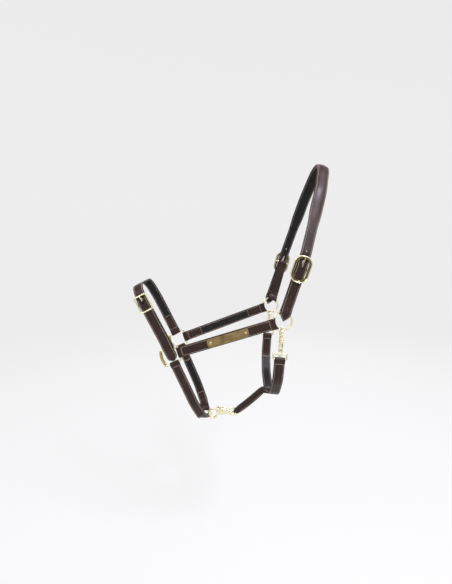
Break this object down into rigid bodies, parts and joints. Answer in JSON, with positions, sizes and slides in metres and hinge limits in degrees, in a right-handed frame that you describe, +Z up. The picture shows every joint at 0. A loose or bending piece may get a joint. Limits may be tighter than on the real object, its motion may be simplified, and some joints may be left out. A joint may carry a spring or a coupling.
{
  "type": "leather headcollar",
  "caption": "Leather headcollar for a horse with padded crown, buckled crown and noseband, cheek nameplate, and a throat strap on bolt snaps joined to the chin ring.",
  "frame": {"origin": "underside of the padded crown at its highest point, where it sits on the horse's poll", "axes": "+Z up, -X towards the horse's nose, -Y the horse's near (left) side"},
  "size_m": [0.4358, 0.2306, 0.5887],
  "materials": {
    "leather": "satin",
    "lining": "matte",
    "padding": "matte",
    "brass": "polished",
    "plate": "satin",
    "spring": "satin"
  },
  "bodies": {
    "crown": {"crown_strap": "leather", "crown_padding": "padding", "crown_lining": "lining", "near_crown_billet_lining": "lining", "far_crown_billet_lining": "lining", "near_crown_chape": "leather", "far_crown_chape": "leather", "near_crown_buckle_frame": "brass", "far_crown_buckle_frame": "brass"},
    "near_ring": {"near_upper_ring": "brass"},
    "far_ring": {"far_upper_ring": "brass"},
    "near_crown_tongue": {"near_crown_buckle_tongue": "brass"},
    "far_crown_tongue": {"far_crown_buckle_tongue": "brass"},
    "muzzle": {"near_lower_square": "brass", "far_lower_square": "brass", "near_cheek_strap": "leather", "far_cheek_strap": "leather", "near_cheek_lining": "lining", "far_cheek_lining": "lining", "nameplate": "plate", "nameplate_rivets": "plate", "noseband_strap": "leather", "noseband_lining": "lining", "noseband_chape": "leather", "noseband_buckle_frame": "brass", "near_chin_strap": "leather", "far_chin_strap": "leather", "near_chin_lining": "lining", "far_chin_lining": "lining"},
    "noseband_tongue": {"noseband_buckle_tongue": "brass"},
    "chin_ring": {"chin_ring": "brass"},
    "throat": {"throat_strap": "leather", "throat_lining": "lining", "near_throat_snap_eye": "brass", "far_throat_snap_eye": "brass", "jaw_strap": "leather", "chin_snap_eye": "brass"},
    "near_throat_snap": {"near_throat_snap_hook": "brass", "near_throat_snap_spring": "spring"},
    "near_throat_bolt": {"near_throat_snap_bolt": "brass"},
    "far_throat_snap": {"far_throat_snap_hook": "brass", "far_throat_snap_spring": "spring"},
    "far_throat_bolt": {"far_throat_snap_bolt": "brass"},
    "chin_snap": {"chin_snap_hook": "brass", "chin_snap_spring": "spring"},
    "chin_bolt": {"chin_snap_bolt": "brass"}
  },
  "joints": [
    {"name": "near_ring_turn", "type": "hinge", "parent": "crown", "child": "near_ring", "pos_m": [-0.1017, -0.085, -0.3288], "axis": [0, 1, 0], "continuous": true},
    {"name": "far_ring_turn", "type": "hinge", "parent": "crown", "child": "far_ring", "pos_m": [-0.1017, 0.085, -0.3288], "axis": [0, 1, 0], "continuous": true},
    {"name": "nose_swing", "type": "hinge", "parent": "crown", "child": "muzzle", "pos_m": [-0.1017, 0, -0.3288], "axis": [0, 1, 0], "range_deg": [-25, 20]},
    {"name": "throat_swing", "type": "hinge", "parent": "crown", "child": "throat", "pos_m": [-0.1017, 0, -0.3288], "axis": [0, 1, 0], "range_deg": [-25, 20]},
    {"name": "near_crown_tongue_lift", "type": "hinge", "parent": "crown", "child": "near_crown_tongue", "pos_m": [-0.06786, -0.098, -0.21924], "axis": [0.9553, 0, -0.2957], "range_deg": [0, 25]},
    {"name": "far_crown_tongue_lift", "type": "hinge", "parent": "crown", "child": "far_crown_tongue", "pos_m": [-0.06786, 0.098, -0.21924], "axis": [-0.9553, 0, 0.2957], "range_deg": [0, 25]},
    {"name": "noseband_tongue_lift", "type": "hinge", "parent": "muzzle", "child": "noseband_tongue", "pos_m": [-0.39158, -0.061, -0.29489], "axis": [0.8846, 0, 0.4664], "range_deg": [0, 25]},
    {"name": "chin_ring_turn", "type": "hinge", "parent": "muzzle", "child": "chin_ring", "pos_m": [-0.26588, 0, -0.55936], "axis": [0, 0, 1], "continuous": true},
    {"name": "near_throat_swivel", "type": "hinge", "parent": "throat", "child": "near_throat_snap", "pos_m": [-0.10377, -0.0898, -0.35251], "axis": [-0.0872, 0, -0.9962], "range_deg": [-15, 15]},
    {"name": "near_throat_bolt_slide", "type": "slide", "parent": "near_throat_snap", "child": "near_throat_bolt", "axis": [-0.0872, 0, -0.9962], "range_m": [0, 0.006], "stiffness_N_per_m": 250, "springref_m": -0.008, "deforming": ["near_throat_snap_spring"]},
    {"name": "far_throat_swivel", "type": "hinge", "parent": "throat", "child": "far_throat_snap", "pos_m": [-0.10377, 0.0898, -0.35251], "axis": [-0.0872, 0, -0.9962], "range_deg": [-15, 15]},
    {"name": "far_throat_bolt_slide", "type": "slide", "parent": "far_throat_snap", "child": "far_throat_bolt", "axis": [-0.0872, 0, -0.9962], "range_m": [0, 0.006], "stiffness_N_per_m": 250, "springref_m": -0.008, "deforming": ["far_throat_snap_spring"]},
    {"name": "chin_swivel", "type": "hinge", "parent": "throat", "child": "chin_snap", "pos_m": [-0.24708, 0, -0.55776], "axis": [1, 0, 0], "range_deg": [-15, 15]},
    {"name": "chin_bolt_slide", "type": "slide", "parent": "chin_snap", "child": "chin_bolt", "axis": [1, 0, 0], "range_m": [0, 0.006], "stiffness_N_per_m": 250, "springref_m": -0.008, "deforming": ["chin_snap_spring"]}
  ],
  "couplings": [
    {"joint": "throat_swing", "follows": "nose_swing", "ratio": 1}
  ]
}
